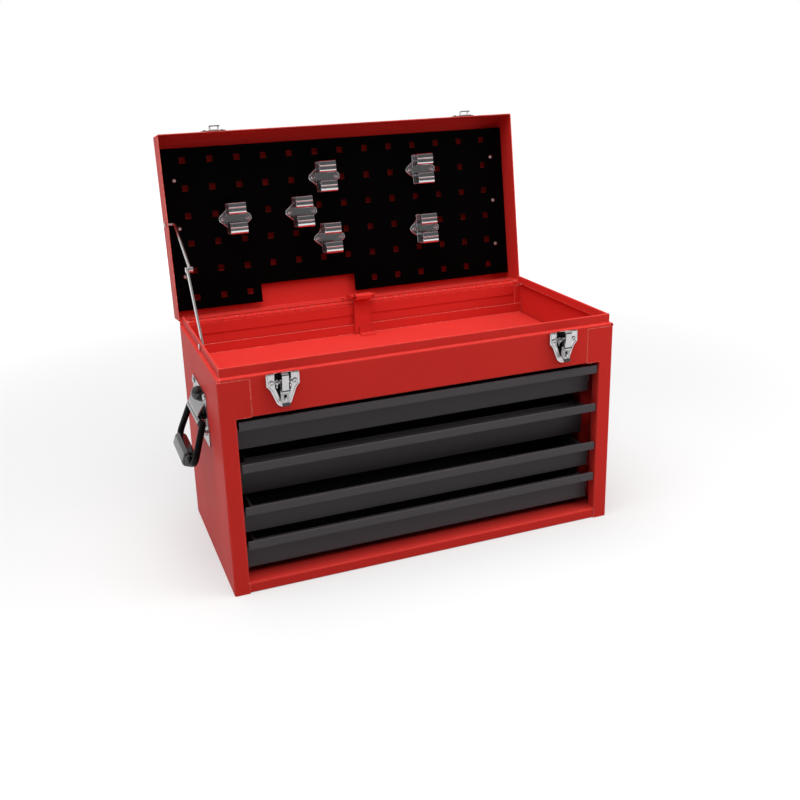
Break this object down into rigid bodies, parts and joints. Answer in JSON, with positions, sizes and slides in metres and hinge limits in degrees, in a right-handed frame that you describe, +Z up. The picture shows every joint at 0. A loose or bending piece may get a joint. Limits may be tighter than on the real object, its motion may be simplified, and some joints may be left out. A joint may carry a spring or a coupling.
{
  "type": "drawer tool chest",
  "caption": "Sheet-steel tool chest with sliding drawers, a top tray, draw latches, folding side handles and a hinged lid with a perforated tool panel",
  "frame": {"origin": "middle of the base's underside", "axes": "X to the right along the width, Y to the back, Z up; the drawers face -Y"},
  "size_m": [0.5968, 0.3517, 0.5403],
  "materials": {
    "red_paint": "gloss red powder coat",
    "grey_paint": "satin anthracite powder coat",
    "black_paint": "matt black paint",
    "black_steel": "black coated rod",
    "zinc_steel": "zinc-plated steel",
    "nickel_plate": "bright nickel plate",
    "black_grip": "moulded black grip"
  },
  "bodies": {
    "case": {"left_side_panel": "red_paint", "right_side_panel": "red_paint", "back_panel": "red_paint", "bottom_pan": "red_paint", "front_fascia": "red_paint", "tray_floor": "red_paint", "left_rail_posts": "red_paint", "right_rail_posts": "red_paint", "left_slide_rails": "zinc_steel", "right_slide_rails": "zinc_steel", "hinge_case_leaf": "red_paint", "hinge_pin": "zinc_steel", "lock_guide": "red_paint", "left_latch_plate": "nickel_plate", "right_latch_plate": "nickel_plate", "latch_pins": "nickel_plate", "left_handle_plate": "nickel_plate", "right_handle_plate": "nickel_plate", "case_rivets": "nickel_plate"},
    "lid": {"lid_shell": "red_paint", "hinge_lid_leaf": "red_paint", "tool_panel": "black_paint", "panel_spacers": "zinc_steel", "panel_screws": "zinc_steel", "tool_clip_1": "nickel_plate", "tool_clip_2": "nickel_plate", "tool_clip_3": "nickel_plate", "tool_clip_4": "nickel_plate", "tool_clip_5": "nickel_plate", "tool_clip_6": "nickel_plate", "lid_rivets": "nickel_plate", "left_strike": "nickel_plate", "right_strike": "nickel_plate", "lock_lugs": "red_paint", "lock_pin": "red_paint"},
    "drawer_1": {"drawer_1_box": "grey_paint", "drawer_1_front": "grey_paint", "drawer_1_runners": "zinc_steel"},
    "drawer_2": {"drawer_2_box": "grey_paint", "drawer_2_front": "grey_paint", "drawer_2_runners": "zinc_steel"},
    "drawer_3": {"drawer_3_box": "grey_paint", "drawer_3_front": "grey_paint", "drawer_3_runners": "zinc_steel"},
    "drawer_4": {"drawer_4_box": "grey_paint", "drawer_4_front": "grey_paint", "drawer_4_runners": "zinc_steel"},
    "left_lever": {"left_latch_lever": "nickel_plate"},
    "left_hook": {"left_latch_hook": "nickel_plate"},
    "left_handle": {"left_handle_bail": "black_steel", "left_handle_grip": "black_grip"},
    "right_lever": {"right_latch_lever": "nickel_plate"},
    "right_hook": {"right_latch_hook": "nickel_plate"},
    "right_handle": {"right_handle_bail": "black_steel", "right_handle_grip": "black_grip"},
    "stay_lower": {"stay_lower_link": "zinc_steel"},
    "stay_upper": {"stay_upper_link": "zinc_steel"},
    "lock_bar": {"lock_bar": "red_paint"}
  },
  "joints": [
    {"name": "lid_hinge", "type": "hinge", "parent": "case", "child": "lid", "pos_m": [0, 0.1291, 0.28], "axis": [1, 0, 0], "range_deg": [0, 98]},
    {"name": "drawer_1_slide", "type": "slide", "parent": "case", "child": "drawer_1", "axis": [0, -1, 0], "range_m": [0, 0.16]},
    {"name": "drawer_2_slide", "type": "slide", "parent": "case", "child": "drawer_2", "axis": [0, -1, 0], "range_m": [0, 0.16]},
    {"name": "drawer_3_slide", "type": "slide", "parent": "case", "child": "drawer_3", "axis": [0, -1, 0], "range_m": [0, 0.16]},
    {"name": "drawer_4_slide", "type": "slide", "parent": "case", "child": "drawer_4", "axis": [0, -1, 0], "range_m": [0, 0.16]},
    {"name": "left_latch_pivot", "type": "hinge", "parent": "case", "child": "left_lever", "pos_m": [-0.186, -0.132, 0.269], "axis": [-1, 0, 0], "range_deg": [-9, 65]},
    {"name": "left_hook_pivot", "type": "hinge", "parent": "left_lever", "child": "left_hook", "pos_m": [-0.186, -0.13896, 0.25897], "axis": [-1, 0, 0], "range_deg": [-130, 18]},
    {"name": "right_latch_pivot", "type": "hinge", "parent": "case", "child": "right_lever", "pos_m": [0.186, -0.132, 0.269], "axis": [-1, 0, 0], "range_deg": [-9, 65]},
    {"name": "right_hook_pivot", "type": "hinge", "parent": "right_lever", "child": "right_hook", "pos_m": [0.186, -0.13896, 0.25897], "axis": [-1, 0, 0], "range_deg": [-130, 18]},
    {"name": "left_handle_pivot", "type": "hinge", "parent": "case", "child": "left_handle", "pos_m": [-0.27, 0, 0.197], "axis": [0, 1, 0], "range_deg": [0, 70.5]},
    {"name": "right_handle_pivot", "type": "hinge", "parent": "case", "child": "right_handle", "pos_m": [0.27, 0, 0.197], "axis": [0, -1, 0], "range_deg": [0, 70.5]},
    {"name": "stay_case_pivot", "type": "hinge", "parent": "case", "child": "stay_lower", "pos_m": [-0.2546, -0.0069, 0.286], "axis": [1, 0, 0], "range_deg": [0, 123.37]},
    {"name": "stay_lid_pivot", "type": "hinge", "parent": "lid", "child": "stay_upper", "pos_m": [-0.262, 0.16387, 0.41245], "axis": [1, 0, 0], "range_deg": [-123.6, 0]},
    {"name": "lock_bar_slide", "type": "slide", "parent": "case", "child": "lock_bar", "axis": [0, 0, -1], "range_m": [0, 0.02325]}
  ],
  "couplings": [
    {"joint": "left_hook_pivot", "follows": "left_latch_pivot", "ratio": -2},
    {"joint": "right_hook_pivot", "follows": "right_latch_pivot", "ratio": -2},
    {"joint": "stay_case_pivot", "follows": "lid_hinge", "ratio": 1.2587},
    {"joint": "stay_lid_pivot", "follows": "lid_hinge", "ratio": -1.2611},
    {"joint": "lock_bar_slide", "follows": "lid_hinge", "m_per_rad": 0.01359}
  ]
}
